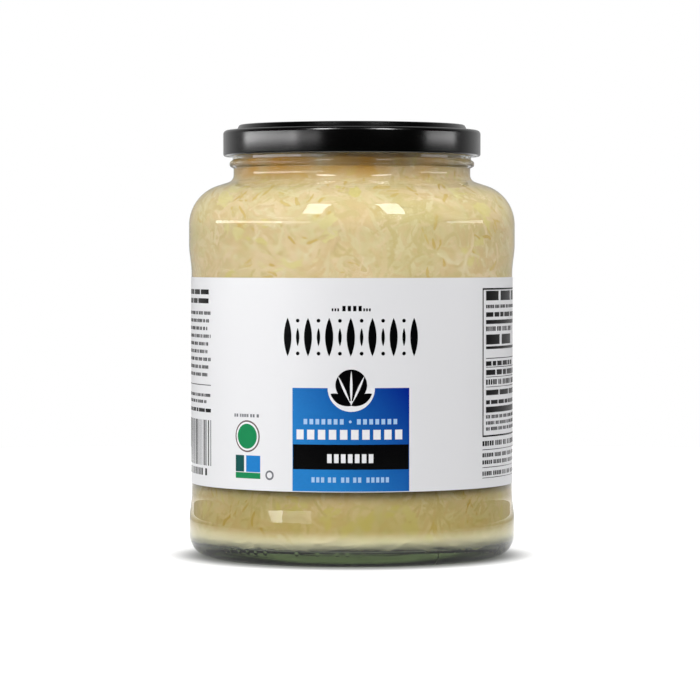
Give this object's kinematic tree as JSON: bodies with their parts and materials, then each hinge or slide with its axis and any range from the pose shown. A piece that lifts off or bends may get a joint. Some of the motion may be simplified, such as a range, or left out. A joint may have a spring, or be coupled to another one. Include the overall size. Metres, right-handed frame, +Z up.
{
  "type": "sauerkraut jar",
  "caption": "Round glass jar of shredded sauerkraut in brine, with a wrap label and a black twist-off metal lid.",
  "frame": {"origin": "centre of the base, in the plane of the ring that the jar stands on", "axes": "+Z up along the jar's axis; the label's front faces -Y and the gap between the label's ends is at +Y"},
  "size_m": [0.1076, 0.1076, 0.1423],
  "materials": {
    "glass": "clear moulded soda-lime glass, faintly green where it is thick",
    "lacquered_tinplate": "glossy black lacquer on tinplate",
    "sauerkraut": "wet pale yellow shreds of cabbage in brine",
    "label_film": "satin white film, printed in blue and black"
  },
  "bodies": {
    "root": {"jar": "glass", "lid": "lacquered_tinplate", "sauerkraut": "sauerkraut", "label": "label_film"}
  },
  "joints": []
}
